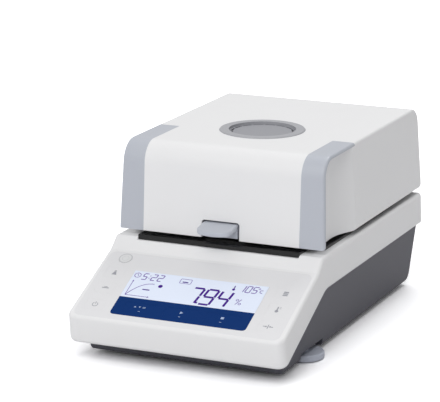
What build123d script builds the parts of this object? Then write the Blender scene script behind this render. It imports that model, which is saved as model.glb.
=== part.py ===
"""Bench-top halogen moisture analyzer: a lower case with a sloping keypad, a weighing cell under a
sample chamber, and a heating lid that hinges open at the back.

Frame: X to the right, Y to the back, Z up, millimetres. The origin lies on the bench under the
middle of the case.
"""

import os
from math import atan2, cos, degrees, radians, sin, tan

from build123d import *

os.makedirs("parts", exist_ok=True)

# Case, from the bench upwards
case_depth = 334.0
deck_width = 188.0
deck_height = 85.0
case_draft = 2.0
case_wall = 2.6
case_edge = 3.2
case_corner = 8.0
back_setback = 2.0
seam_height = 56.5
seam_gap = 0.6
front_y = -case_depth / 2
case_back = case_depth / 2 - back_setback

# Sloping keypad front
lip_height = 38.5
front_undercut = 4.5
skirt_height = 13.5
panel_run = 79.0
panel_rise = 36.5
step_run = 11.5
skirt_run = 96.4
skirt_bend_radius = 33.0
skirt_bend_y = front_y + skirt_run
deck_front_y = front_y + panel_run + step_run

# Dark lower housing
ground_gap = 4.0
lower_inset = 1.7
lower_draft = 7.5
lower_wall = 3.0
lower_back_setback = 7.0
lower_front_setback = 24.0
lower_front_run = 2.0
lower_corner = 8.0
lower_front_corner = 4.0
lower_edge = 2.5
tongue_height = 4.0
tongue_wall = 1.5
lower_width = deck_width - 2 * lower_inset
lower_back = case_back - lower_back_setback
lower_front = front_y + lower_front_setback

# Keypad, measured up the slope from the front lip
foil_thickness = 0.5
foil_rim = 3.6
foil_gap = 0.04
foil_low = 2.6
foil_high = 84.6
foil_corner = 6.0
display_low = 30.8
display_high = 63.8
display_thickness = 0.9
display_ledge = 0.8
display_gap = 0.05
key_clearance = 0.05
key_travel = 0.4
key_pocket = 1.3
key_pusher_radius = 2.4
key_pusher_gap = 0.5
soft_key_size = (30.0, 13.0)
soft_key_pitch = 36.0
soft_key_up = 19.0
side_key_size = (17.0, 12.5)
side_key_inset = 17.5
side_key_up = (17.5, 38.5, 58.0)
side_key_x = deck_width / 2 - side_key_inset
display_side = 16.5
display_width = 2 * (side_key_x - display_side)
bubble_inset = 1.5
bubble_x = bubble_inset - side_key_x
bubble_up = 77.2
bubble_radius = 5.9
bubble_gap = 0.05
board_depth = 8.4
board_thickness = 1.6

# Sample chamber
chamber_setback = 93.5
tray_side = 21.0
tray_overhang = 0.7
tray_back_setback = 54.0
tray_thickness = 2.0
tray_lip_drop = 2.0
tray_lip_slant = 0.5
tray_lip_depth = 3.4
tray_lip_edge = 1.0
tray_wing_side = 7.5
tray_wing_setback = 24.0
well_radius = 60.5
well_wall = 2.5
well_depth = 25.0
pan_diameter = 90.0
pan_height = 7.0
pan_depth = 11.0
pan_sheet = 0.6
pan_flare = 2.0
pan_rim = 1.5
weighing_travel = 0.25
stop_gap = 0.1
load_cell_drop = 40.0
stem_radius = 3.0
chamber_y = deck_front_y + chamber_setback
tray_width = deck_width - 2 * tray_side
tray_front = deck_front_y - tray_overhang
tray_back = case_back - tray_back_setback
pan_floor_z = deck_height - pan_depth
load_cell_top = deck_height - load_cell_drop

# Heating lid
lid_gap = 4.5
lid_height = 74.9
lid_inset = 1.0
lid_draft = 2.1
lid_front_setback = 4.5
lid_front_lean = 3.3
lid_overhang = 2.0
lid_back_lean = 5.5
lid_front_radius = 18.0
lid_back_radius = 15.0
lid_foot_radius = 4.0
lid_wall = 2.8
lid_edge = 2.2
lid_room_below = 20.0
trim_width = 22.5
trim_thickness = 2.6
trim_reach = 73.0
scoop_mid = 6.0
scoop_in = 9.5
scoop_reach = 30.0
handle_width = 31.0
handle_reach = 19.0
handle_gap = 1.6
handle_bulge = 3.5
handle_corner = 7.0
handle_edge = 1.2
handle_thickness = 4.4
handle_drop = 3.0
handle_lip = 3.0
handle_recess_height = 15.0
handle_recess_depth = 13.0
handle_recess_corner = 2.5
ring_radius = 36.9
ring_inner_radius = 28.8
ring_height = 0.8
ring_edge = 0.6
lid_bottom = deck_height + lid_gap
lid_top = lid_bottom + lid_height
lid_bottom_width = deck_width - 2 * lid_inset
lid_front = deck_front_y + lid_front_setback
lid_back = case_back + lid_overhang
trim_inner_x = lid_bottom_width / 2 - trim_width
trim_end_y = lid_front + trim_reach
scoop_width_mid = lid_bottom_width / 2 - scoop_mid
scoop_width_in = lid_bottom_width / 2 - scoop_in
scoop_deep_y = lid_front + scoop_reach

# Hinge
hinge_setback = 10.0
hinge_rise = 14.0
hinge_pin_radius = 3.0
hinge_running_gap = 0.05
hinge_x = 55.0
hinge_leaf = 8.0
hinge_leaf_gap = 0.6
hinge_boss = 6.0
bracket_setback = 37.0
bracket_length = 20.0
bracket_foot = 3.0
bracket_notch = 6.0
arm_rise = 29.0
arm_root = 4.0
arm_gap = 0.1
hinge_y = lid_back - hinge_setback
hinge_z = deck_height + hinge_rise
bracket_front = case_back - bracket_setback
bracket_back = bracket_front + bracket_length
arm_top = hinge_z + arm_rise

# Levelling feet
foot_inset = 15.5
foot_setback = 86.5
foot_wheel_radius = 17.5
foot_wheel_height = 4.9
foot_wheel_edge = 0.9
foot_pad_radius = 12.0
foot_pad_height = 1.0
foot_pad_gap = 0.1
foot_pad_edge = 0.4
foot_ball_height = 3.0
stud_radius = 4.0
stud_gap = 0.05
stud_top = 21.0
foot_slot_length = 47.7
foot_slot_top = 10.3
foot_wheel_room = 2.0
foot_pocket_width = 26.0
foot_pocket_inset = 23.0
insert_radius = 5.5
insert_wall = 2.5
insert_height = 12.0
rear_foot_setback = 30.0
rear_foot_radius = 10.0
rear_foot_edge = 0.8
foot_x = deck_width / 2 - foot_inset
foot_y = front_y + foot_setback
foot_pocket_x = deck_width / 2 - foot_pocket_inset
rear_foot_y = case_back - rear_foot_setback

# Fastenings
post_radius = 5.0
post_inset = 28.0
front_post_setback = 33.0
rear_post_setback = 37.0
case_screw_grip = 14.0
screw_sink = 4.0
screw_tip_gap = 2.0
case_screw_radius = 1.6
case_screw_head = 3.6
case_screw_head_height = 2.5
screw_gap = 0.3
front_post = (deck_width / 2 - post_inset, front_y + front_post_setback)
rear_post = (deck_width / 2 - post_inset, case_back - rear_post_setback)
front_post_split = 30.0
rear_post_split = 45.0

# Boards and parts inside the lower housing
standoff_radius = 3.5
standoff_height = 4.0
standoff_inset = 4.0
bay_inner_x = 24.0
bay_outer = 12.3
bay_width = lower_width / 2 - bay_outer - bay_inner_x
board_length = 120.0
board_offset = 23.0
supply_length = 110.0
supply_setback = 96.0
board_x, board_y = -bay_inner_x - bay_width / 2, chamber_y + board_offset
board_size = (bay_width, board_length)
supply_x, supply_y = bay_inner_x + bay_width / 2, lower_back - supply_setback
supply_size = (bay_width, supply_length)
chip_size = 14.0
chip_pitch = (24.0, 34.0)
chip_height = 3.0
supply_part_height = 24.0
transformer_size = (30.0, 28.0)
transformer_offset = -22.0
capacitor_radius = 7.0
capacitor_place = (-12.0, 20.0)
heat_sink_size = (12.0, 30.0)
heat_sink_place = (10.0, 20.0)
control_board_side = 12.0
control_board_length = 72.0
control_board_up = 42.0
switch_size = 6.0
key_stem_depth = 3.4
bubble_board_gap = 0.4
cell_length = 100.0
cell_width = 30.0
cell_height = 17.0
cell_lead = 12.0
cell_solid_end = 22.0
cell_beam = 3.5
cell_foot_size = (40.0, 22.0)
cell_foot_height = 4.0
cell_block_length = 20.0
cell_foot_from_end = 24.0

# Connectors at the back
socket_fit = 0.2
inlet_x, inlet_z = 52.0, 34.0
inlet_cut = (28.0, 34.0)
inlet_flange = 2.0
inlet_rim = (6.0, 5.0)
inlet_corner = 2.0
inlet_depth = 24.0
socket_size = (24.0, 16.5)
socket_corner = 4.0
socket_depth = 16.0
socket_up = 6.0
pin_size = (2.0, 4.0)
pin_length = 12.0
pin_pitch = 7.0
pin_up = 5.0
pin_earth_up = 9.0
fuse_size = (24.0, 9.0)
fuse_gap = 0.2
fuse_down = 11.0
fuse_depth = 20.0
serial_x, serial_z = -50.0, 32.0
serial_cut = (20.0, 11.0)
serial_flange = (31.0, 12.6)
serial_flange_thickness = 1.0
serial_corner = 1.5
serial_plug = (17.0, 8.4)
serial_plug_angle = 80.0
serial_plug_depth = 5.5
serial_depth = 10.0

# Parts in the chamber and in the lid
tray_corner = 6.0
stem_room = 7.0
heat_shield_gap = 0.5
heat_shield_sheet = 1.0
shield_radius = 56.0
shield_lip = 6.0
shield_sheet = 1.2
arm_drop = 4.0
arm_reach = 38.0
arm_width = 4.0
arm_thickness = 1.5
plate_rise = 2.1
plate_thickness = 1.4
plate_side = 15.0
plate_corner = 3.0
plate_front_setback = 18.0
plate_back_setback = 39.0
plate_post_inset = 5.0
plate_post_setback = 10.0
plate_hole_gap = 0.2
lid_post_radius = 4.0
lid_screw_length = 10.0
lid_screw_head = 3.0
lid_screw_head_height = 1.4
window_radius = 49.0
glass_edge = 3.0
glass_thickness = 3.0
clip_size = (5.0, 8.0)
clip_tab = 8.0
clip_tab_thickness = 0.8
reflector_radius = 66.0
reflector_rise = 6.4
reflector_roof = 13.0
reflector_hub = 9.0
reflector_sheet = 0.8
reflector_flange = 8.0
reflector_notch = 14.0
reflector_hole = 2.0
reflector_hub_radius = 20.0
reflector_hub_slope = 8.0
reflector_roof_radius = 46.0
reflector_post_radius = 3.0
lamp_ring_radius = 35.0
lamp_tube_radius = 4.0
lamp_tube_sides = 10
lamp_end_radius = 3.2
lamp_rise = 10.4
lamp_end_x = 9.0
socket_setback = 53.0
socket_block = (12.0, 14.0)
socket_over_lamp = 8.0
sensor_x = -55.5
sensor_radius = 1.5
sensor_gap = 0.3
sensor_collar = 2.0
sensor_collar_height = 5.0
sensor_drop = 1.3
neck_radius = 33.4
neck_gap = 0.1
neck_depth = 8.0
grille_radius = 30.8
grille_drop = 1.4
grille_thickness = 1.6
slot_radius = 26.2
slot_width = 2.0
slot_turn = 22.5
slot_share = 0.72
pan_radius = pan_diameter / 2
arm_z = pan_floor_z - arm_drop
plate_top = lid_bottom + plate_rise
plate_width = lid_bottom_width - 2 * plate_side
plate_front = lid_front + plate_front_setback
plate_back = lid_back - plate_back_setback
plate_post_x = plate_width / 2 - plate_post_inset
reflector_z = plate_top + reflector_rise
lamp_z = plate_top + lamp_rise
socket_y = chamber_y + socket_setback
sensor_low = lid_bottom - sensor_drop
grille_top = lid_top - grille_drop

# Values worked out from the sizes above
half_depth = case_depth / 2
panel_angle = degrees(atan2(panel_rise, panel_run))
panel_back = (front_y + panel_run, lip_height + panel_rise)
tray_lip_back = tray_front + tray_lip_depth
well_floor = deck_height - well_depth
panel = Plane(
    origin=(0, front_y, lip_height),
    x_dir=(1, 0, 0),
    z_dir=(0, -sin(radians(panel_angle)), cos(radians(panel_angle))),
)


def case_half(z):
    """Half-width of the upper housing at a height."""
    return deck_width / 2 + (deck_height - z) * tan(radians(case_draft))


def lower_half(z):
    """Half-width of the lower housing at a height."""
    return lower_width / 2 - (seam_height - z) * tan(radians(lower_draft))


def lid_half(z):
    """Half-width of the lid at a height."""
    return lid_bottom_width / 2 - (z - lid_bottom) * tan(radians(lid_draft))


def lid_front_at(z):
    """Front face of the lid at a height."""
    return lid_front + (z - lid_bottom) * tan(radians(lid_front_lean))


def lid_back_at(z):
    """Back face of the lid at a height."""
    return lid_back - (z - lid_bottom) * tan(radians(lid_back_lean))


def outline(points, radii=0.0):
    """Closed face in the open sketch, with a radius for each corner."""
    with BuildLine() as path:
        FilletPolyline(*points, radius=radii, close=True)
    make_face(path.edges())


def flanks(half_at, low, high, inset=0.0):
    """Cross-section between two drafted flanks, from one height to another."""
    with BuildLine() as path:
        Polyline(
            (-half_at(low) + inset, low),
            (half_at(low) - inset, low),
            (half_at(high) - inset, high),
            (-half_at(high) + inset, high),
            close=True,
        )
    make_face(path.edges())


def drafted_body(points, radii, half_at, low, high, inset=0.0, flank_inset=None):
    """A side profile carried across the width between drafted flanks."""
    flank_inset = inset if flank_inset is None else flank_inset
    reach = max(half_at(low), half_at(high)) + 5
    with BuildPart() as body:
        with BuildSketch(Plane.YZ):
            outline(points, radii)
            if inset:
                offset(amount=-inset)
        extrude(amount=reach, both=True)
        with BuildSketch(Plane.XZ):
            flanks(half_at, low, high, flank_inset)
        extrude(amount=case_depth, both=True, mode=Mode.INTERSECT)
    return body.part


def seam_at(y):
    """Height of the seam under the keypad slope."""
    slope = (seam_height - skirt_height) / (skirt_bend_y - front_y - front_undercut)
    return skirt_height + (y - front_y - front_undercut) * slope


def tub_body(rise, inset):
    """Body of the lower housing up to a height over the seam, drawn in from its outside."""
    top = rise + inset
    front = lower_front - lower_front_run
    points = [
        (lower_back, seam_height + top),
        (skirt_bend_y, seam_height + top),
        (front, seam_at(front) + top),
        (front, skirt_height),
        (lower_front, ground_gap),
        (lower_back, ground_gap),
    ]
    radii = [0.0, skirt_bend_radius - top, 0.0, 0.0, lower_front_corner, lower_corner]
    return drafted_body(points, radii, lower_half, 0, deck_height, inset)


def tray_lip_outline(gap):
    """Front lip of the chamber tray seen from the front, grown by a gap."""
    with BuildLine() as lip:
        Polyline(
            (-tray_width / 2 - gap, deck_height + tray_thickness),
            (tray_width / 2 + gap, deck_height + tray_thickness),
            (tray_width / 2 - tray_lip_slant + gap, deck_height - tray_lip_drop - gap),
            (-tray_width / 2 + tray_lip_slant - gap, deck_height - tray_lip_drop - gap),
            close=True,
        )
    return lip


def finish(piece, name):
    """Label a piece and write it under its own name."""
    piece.part.label = name
    export_step(piece.part, f"parts/{name}.step")


def both_sides(place):
    """The same place on the right and on the left."""
    return [place, (-place[0], *place[1:])]


# Upper housing: white moulding with the keypad slope in front and the deck behind
case_profile = [
    (case_back, deck_height),
    (deck_front_y, deck_height),
    panel_back,
    (front_y, lip_height),
    (front_y + front_undercut, skirt_height),
    (skirt_bend_y, seam_height),
    (case_back, seam_height),
]
case_radii = [case_edge, case_edge, case_edge, 0.0, 0.0, skirt_bend_radius, 0.0]
case_sharp = drafted_body(case_profile, case_radii, case_half, 0, deck_height + 1)
case_room = drafted_body(case_profile, case_radii, case_half, 0, deck_height + 1, case_wall)


def front_corners(shape_edges):
    """Upright edges at the two front corners."""
    return shape_edges.filter_by(
        lambda e: e.center().Y < front_y + 2 * front_undercut and abs(e.tangent_at(0.5).Z) > 0.9
    )


with BuildPart() as case_cavity:
    add(case_room)
    fillet(front_corners(edges()), radius=case_corner - case_wall)
tongue_opening = tub_body(case_wall + 2, tongue_wall - seam_gap)

key_places = {
    "key_soft_left": (-soft_key_pitch, soft_key_up, soft_key_size),
    "key_soft_middle": (0.0, soft_key_up, soft_key_size),
    "key_soft_right": (soft_key_pitch, soft_key_up, soft_key_size),
    "key_power": (-side_key_x, side_key_up[0], side_key_size),
    "key_print": (-side_key_x, side_key_up[1], side_key_size),
    "key_a": (-side_key_x, side_key_up[2], side_key_size),
    "key_tare": (side_key_x, side_key_up[0], side_key_size),
    "key_temperature": (side_key_x, side_key_up[1], side_key_size),
    "key_b": (side_key_x, side_key_up[2], side_key_size),
}
foil_half = case_half(lip_height + panel_rise) - foil_rim
foil_middle = (foil_low + foil_high) / 2
display_middle = (display_low + display_high) / 2
display_height = display_high - display_low

with BuildPart() as upper_housing:
    # The edge radius runs on from the chosen edges around the lip and along the underside
    add(case_sharp)
    fillet(front_corners(edges()), radius=case_corner)
    fillet(
        edges().filter_by(
            lambda e: e.center().Z > lip_height - 0.1
            and (abs(e.center().X) > deck_width / 2 - case_corner or e.center().Y < front_y + 1)
            and e.center().Y < case_back - 1
        ),
        radius=case_edge,
    )
    add(case_cavity.part, mode=Mode.SUBTRACT)
    # Opening in the underside that the lower housing's tongue stands in
    add(tongue_opening, mode=Mode.SUBTRACT)
    # Recess of the keypad foil, ledge and opening of the display, pockets of the keys
    with BuildSketch(panel):
        with Locations((0, foil_middle)):
            RectangleRounded(
                2 * (foil_half + foil_gap), foil_high - foil_low + 2 * foil_gap, foil_corner
            )
    extrude(amount=-foil_thickness, mode=Mode.SUBTRACT)
    with BuildSketch(panel):
        with Locations((0, display_middle)):
            Rectangle(display_width + 2 * display_gap, display_height + 2 * display_gap)
    extrude(amount=-display_thickness, mode=Mode.SUBTRACT)
    with BuildSketch(panel):
        with Locations((0, display_middle)):
            Rectangle(display_width - 2 * display_ledge, display_height - 2 * display_ledge)
    extrude(amount=-2 * case_wall, mode=Mode.SUBTRACT)
    for x, up, size in key_places.values():
        with BuildSketch(panel):
            with Locations((x, up)):
                Rectangle(size[0] + 2 * key_clearance, size[1] + 2 * key_clearance)
        extrude(amount=-key_pocket, mode=Mode.SUBTRACT)
        with BuildSketch(panel):
            with Locations((x, up)):
                Circle(key_pusher_radius + key_pusher_gap)
        extrude(amount=-2 * case_wall, mode=Mode.SUBTRACT)
    with BuildSketch(panel):
        with Locations((bubble_x, bubble_up)):
            Circle(bubble_radius + bubble_gap)
    extrude(amount=-2 * case_wall, mode=Mode.SUBTRACT)
    # Round opening of the chamber well and the notch for the front lip of the tray
    with BuildSketch(Plane.XY.offset(deck_height)):
        with Locations((0, chamber_y)):
            Circle(well_radius + screw_gap)
    extrude(amount=-2 * case_wall, mode=Mode.SUBTRACT)
    with BuildSketch(Plane.XZ.offset(-tray_lip_back - screw_gap)):
        make_face(tray_lip_outline(screw_gap).edges())
    extrude(amount=10, mode=Mode.SUBTRACT)
    # Posts that take the case screws
    for place, split in ((front_post, front_post_split), (rear_post, rear_post_split)):
        with BuildSketch(Plane.XY.offset(split)):
            with Locations(*both_sides(place)):
                Circle(post_radius)
        extrude(until=Until.NEXT)
        with BuildSketch(Plane.XY.offset(split)):
            with Locations(*both_sides(place)):
                Circle(case_screw_radius)
        extrude(amount=case_screw_grip, mode=Mode.SUBTRACT)
finish(upper_housing, "upper_housing")

# Lower housing: dark tub with a tongue that reaches up inside the white housing
tub_outer = tub_body(-seam_gap, 0.0)
tub_tongue = tub_body(tongue_height, tongue_wall)
tub_cavity = tub_body(tongue_height + 6, lower_wall)

with BuildPart() as lower_housing:
    add(tub_outer)
    fillet(
        edges().filter_by(lambda e: abs(e.center().Z - ground_gap) < 0.01 and abs(e.center().X) > 70),
        radius=lower_edge,
    )
    add(tub_tongue)
    add(tub_cavity, mode=Mode.SUBTRACT)
    # Pockets of the levelling wheels, open to the sides and below
    with BuildSketch(Plane.XY.offset(ground_gap)):
        with Locations(*both_sides((foot_pocket_x, foot_y))):
            Rectangle(foot_pocket_width, foot_slot_length + 2 * lower_wall)
    extrude(amount=foot_slot_top + lower_wall - ground_gap)
    with BuildSketch(Plane.XY.offset(foot_slot_top)):
        with Locations(*both_sides((foot_x, foot_y))):
            Circle(insert_radius + insert_wall)
    extrude(amount=insert_height)
    with BuildSketch(Plane.XY.offset(foot_slot_top)):
        with Locations(*both_sides((foot_x + lower_wall, foot_y))):
            Rectangle(2 * (foot_wheel_radius + foot_wheel_room) + lower_wall, foot_slot_length)
    extrude(amount=-foot_slot_top, mode=Mode.SUBTRACT)
    with Locations(*both_sides((foot_x, foot_y, foot_slot_top + insert_height))):
        Hole(insert_radius, depth=insert_height)
    # Screw bosses, standoffs of the boards, socket of the rear foot
    for place, split in ((front_post, front_post_split), (rear_post, rear_post_split)):
        with BuildSketch(Plane.XY.offset(ground_gap)):
            with Locations(*both_sides(place)):
                Circle(post_radius)
        extrude(amount=split - ground_gap)
        with BuildSketch(Plane.XY.offset(ground_gap)):
            with Locations(*both_sides(place)):
                Circle(case_screw_radius + screw_gap)
        extrude(amount=split - ground_gap, mode=Mode.SUBTRACT)
        with BuildSketch(Plane.XY.offset(ground_gap)):
            with Locations(*both_sides(place)):
                Circle(case_screw_head + screw_gap)
        extrude(amount=screw_sink, mode=Mode.SUBTRACT)
    with BuildSketch(Plane.XY.offset(ground_gap + lower_wall)):
        with Locations((board_x, board_y)):
            with GridLocations(
                board_size[0] - 2 * standoff_inset, board_size[1] - 2 * standoff_inset, 2, 2
            ):
                Circle(standoff_radius)
        with Locations((supply_x, supply_y)):
            with GridLocations(
                supply_size[0] - 2 * standoff_inset, supply_size[1] - 2 * standoff_inset, 2, 2
            ):
                Circle(standoff_radius)
    extrude(amount=standoff_height)
    with Locations((0, rear_foot_y, ground_gap + lower_wall)):
        Hole(stem_radius, depth=lower_wall)
    # Cut-outs of the mains inlet and the serial connector
    with BuildSketch(Plane.XZ.offset(-lower_back)):
        with Locations((inlet_x, inlet_z)):
            Rectangle(*inlet_cut)
        with Locations((serial_x, serial_z)):
            Rectangle(*serial_cut)
    extrude(amount=lower_wall + 1, mode=Mode.SUBTRACT)
finish(lower_housing, "lower_housing")

# Keypad foil with its windows, the display window, the display and the board under the slope
with BuildPart() as keypad_foil:
    with BuildSketch(panel):
        with Locations((0, foil_middle)):
            RectangleRounded(2 * foil_half, foil_high - foil_low, foil_corner)
        with Locations((0, display_middle)):
            Rectangle(
                display_width + 2 * display_gap, display_height + 2 * display_gap, mode=Mode.SUBTRACT
            )
        for x, up, size in key_places.values():
            with Locations((x, up)):
                Rectangle(size[0] + 2 * key_clearance, size[1] + 2 * key_clearance, mode=Mode.SUBTRACT)
        with Locations((bubble_x, bubble_up)):
            Circle(bubble_radius + bubble_gap, mode=Mode.SUBTRACT)
    extrude(amount=-foil_thickness)
finish(keypad_foil, "keypad_foil")

with BuildPart() as display_window:
    with BuildSketch(panel):
        with Locations((0, display_middle)):
            Rectangle(display_width, display_height)
    extrude(amount=-display_thickness)
finish(display_window, "display_window")

with BuildPart() as lcd_module:
    with BuildSketch(panel.offset(-case_wall)):
        with Locations((0, display_middle)):
            Rectangle(display_width - display_ledge, display_height - display_ledge)
    extrude(amount=case_wall - board_depth)
    with BuildSketch(panel.offset(-display_thickness)):
        with Locations((0, display_middle)):
            Rectangle(
                display_width - 2 * (display_ledge + socket_fit),
                display_height - 2 * (display_ledge + socket_fit),
            )
    extrude(amount=display_thickness - case_wall)
finish(lcd_module, "lcd_module")

with BuildPart() as control_board:
    with BuildSketch(panel.offset(-board_depth)):
        with Locations((0, control_board_up)):
            Rectangle(deck_width - 2 * control_board_side, control_board_length)
    extrude(amount=-board_thickness)
    with BuildSketch():
        with Locations(*both_sides(front_post)):
            Circle(post_radius + 1)
    extrude(amount=deck_height, mode=Mode.SUBTRACT)
finish(control_board, "control_board")

with BuildPart() as key_switches:
    for x, up, size in key_places.values():
        with BuildSketch(panel.offset(-board_depth)):
            with Locations((x, up)):
                Rectangle(switch_size, switch_size)
        extrude(amount=board_depth - key_stem_depth - key_travel - stop_gap)
finish(key_switches, "key_switches")

for key_name, (x, up, size) in key_places.items():
    with BuildPart() as key:
        with BuildSketch(panel):
            with Locations((x, up)):
                Rectangle(*size)
        extrude(amount=-foil_thickness)
        with BuildSketch(panel):
            with Locations((x, up)):
                Circle(key_pusher_radius)
        extrude(amount=-key_stem_depth)
    finish(key, key_name)

with BuildPart() as level_bubble:
    with BuildSketch(panel):
        with Locations((bubble_x, bubble_up)):
            Circle(bubble_radius)
    extrude(amount=bubble_board_gap - board_depth)
finish(level_bubble, "level_bubble")

# Chamber tray: black plate on the deck, front lip over its edge, round well below
with BuildPart() as chamber_tray:
    with BuildSketch(Plane.XY.offset(deck_height)):
        with Locations((0, (tray_lip_back + tray_back) / 2)):
            Rectangle(tray_width, tray_back - tray_lip_back)
        with Locations((0, (tray_front + tray_wing_setback + tray_back) / 2)):
            Rectangle(deck_width - 2 * tray_wing_side, tray_back - tray_front - tray_wing_setback)
        corners = vertices().group_by(Axis.Y)[-1]
        fillet(corners, radius=tray_corner)
    extrude(amount=tray_thickness)
    with BuildSketch(Plane.XZ.offset(-tray_lip_back)):
        make_face(tray_lip_outline(0.0).edges())
    extrude(amount=tray_lip_back - tray_front)
    chamfer(
        edges().filter_by(Axis.X).group_by(Axis.Y)[0].sort_by(Axis.Z)[-1:], length=tray_lip_edge
    )
    with BuildSketch(Plane.XY.offset(deck_height)):
        with Locations((0, chamber_y)):
            Circle(well_radius)
    extrude(amount=-well_depth - well_wall)
    with BuildSketch(Plane.XY.offset(deck_height + tray_thickness)):
        with Locations((0, chamber_y)):
            Circle(well_radius - well_wall)
    extrude(amount=-well_depth - tray_thickness, mode=Mode.SUBTRACT)
    with BuildSketch(Plane.XY.offset(well_floor)):
        with Locations((0, chamber_y)):
            Circle(stem_room)
    extrude(amount=-2 * well_wall, mode=Mode.SUBTRACT)
finish(chamber_tray, "chamber_tray")

with BuildPart() as heat_shield:
    with BuildSketch(Plane.XY.offset(well_floor)):
        with Locations((0, chamber_y)):
            Circle(well_radius - well_wall - heat_shield_gap)
            Circle(stem_room, mode=Mode.SUBTRACT)
    extrude(amount=heat_shield_sheet)
finish(heat_shield, "heat_shield")

with BuildPart() as draft_shield:
    with BuildSketch(Plane.YZ):
        with BuildLine():
            Polyline(
                (chamber_y + shield_radius, well_floor + heat_shield_sheet),
                (chamber_y + shield_radius, deck_height),
                (chamber_y + shield_radius - shield_lip, deck_height),
                (chamber_y + shield_radius - shield_lip, deck_height - shield_sheet),
                (chamber_y + shield_radius - shield_sheet, deck_height - shield_sheet),
                (chamber_y + shield_radius - shield_sheet, well_floor + heat_shield_sheet),
                close=True,
            )
        make_face()
    revolve(axis=Axis((0, chamber_y, 0), (0, 0, 1)))
finish(draft_shield, "draft_shield")

# Weighing parts: support with three arms, and the sheet pan on it
with BuildPart() as pan_support:
    with BuildSketch(Plane.XY.offset(load_cell_top + weighing_travel + stop_gap)):
        with Locations((0, chamber_y)):
            Circle(stem_radius)
    extrude(amount=arm_z - load_cell_top - weighing_travel - stop_gap)
    with BuildSketch(Plane.XY.offset(arm_z)):
        with Locations((0, chamber_y)):
            Circle(2 * stem_radius)
            with PolarLocations(arm_reach / 2, 3, 90):
                Rectangle(arm_reach, arm_width)
    extrude(amount=arm_thickness)
    with BuildSketch(Plane.XY.offset(arm_z + arm_thickness)):
        with Locations((0, chamber_y)):
            with PolarLocations(arm_reach - arm_width / 2, 3, 90):
                Rectangle(arm_width, arm_width)
    extrude(amount=pan_floor_z - arm_z - arm_thickness)
finish(pan_support, "pan_support")

with BuildPart() as sample_pan:
    with BuildSketch(Plane.YZ):
        with BuildLine():
            Polyline(
                (chamber_y, pan_floor_z),
                (chamber_y + pan_radius - pan_flare, pan_floor_z),
                (chamber_y + pan_radius, pan_floor_z + pan_height - pan_sheet),
                (chamber_y + pan_radius + pan_rim, pan_floor_z + pan_height - pan_sheet),
                (chamber_y + pan_radius + pan_rim, pan_floor_z + pan_height),
                (chamber_y + pan_radius - pan_sheet, pan_floor_z + pan_height),
                (chamber_y + pan_radius - pan_flare - pan_sheet, pan_floor_z + pan_sheet),
                (chamber_y, pan_floor_z + pan_sheet),
                close=True,
            )
        make_face()
    revolve(axis=Axis((0, chamber_y, 0), (0, 0, 1)))
finish(sample_pan, "sample_pan")

# Load cell: bar with a window between its two flexing beams, on a bracket from the floor
with BuildPart() as load_cell:
    with BuildSketch(Plane.YZ):
        with Locations((chamber_y + cell_length / 2 - cell_lead, load_cell_top - cell_height / 2)):
            Rectangle(cell_length, cell_height)
            SlotOverall(
                cell_length - 2 * cell_solid_end, cell_height - 2 * cell_beam, mode=Mode.SUBTRACT
            )
    extrude(amount=cell_width / 2, both=True)
finish(load_cell, "load_cell")

with BuildPart() as load_cell_bracket:
    with BuildSketch(Plane.XY.offset(ground_gap + lower_wall)):
        with Locations((0, chamber_y + cell_length - cell_foot_from_end)):
            Rectangle(*cell_foot_size)
    extrude(amount=cell_foot_height)
    with BuildSketch(Plane.XY.offset(ground_gap + lower_wall + cell_foot_height)):
        with Locations((0, chamber_y + cell_length - cell_foot_from_end)):
            Rectangle(cell_width, cell_block_length)
    extrude(amount=load_cell_top - cell_height - ground_gap - lower_wall - cell_foot_height)
finish(load_cell_bracket, "load_cell_bracket")

# Boards, connectors and power supply in the lower housing
board_z = ground_gap + lower_wall + standoff_height
with BuildPart() as main_board:
    with BuildSketch(Plane.XY.offset(board_z)):
        with Locations((board_x, board_y)):
            Rectangle(*board_size)
    extrude(amount=board_thickness)
    with BuildSketch(Plane.XY.offset(board_z + board_thickness)):
        with Locations((board_x, board_y)):
            with GridLocations(*chip_pitch, 2, 3):
                Rectangle(chip_size, chip_size)
    extrude(amount=chip_height)
finish(main_board, "main_board")

with BuildPart() as power_supply:
    with BuildSketch(Plane.XY.offset(board_z)):
        with Locations((supply_x, supply_y)):
            Rectangle(*supply_size)
    extrude(amount=board_thickness)
    with BuildSketch(Plane.XY.offset(board_z + board_thickness)):
        with Locations((supply_x, supply_y + transformer_offset)):
            Rectangle(*transformer_size)
        with Locations((supply_x + capacitor_place[0], supply_y + capacitor_place[1])):
            Circle(capacitor_radius)
        with Locations((supply_x + heat_sink_place[0], supply_y + heat_sink_place[1])):
            Rectangle(*heat_sink_size)
    extrude(amount=supply_part_height)
finish(power_supply, "power_supply")

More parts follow.
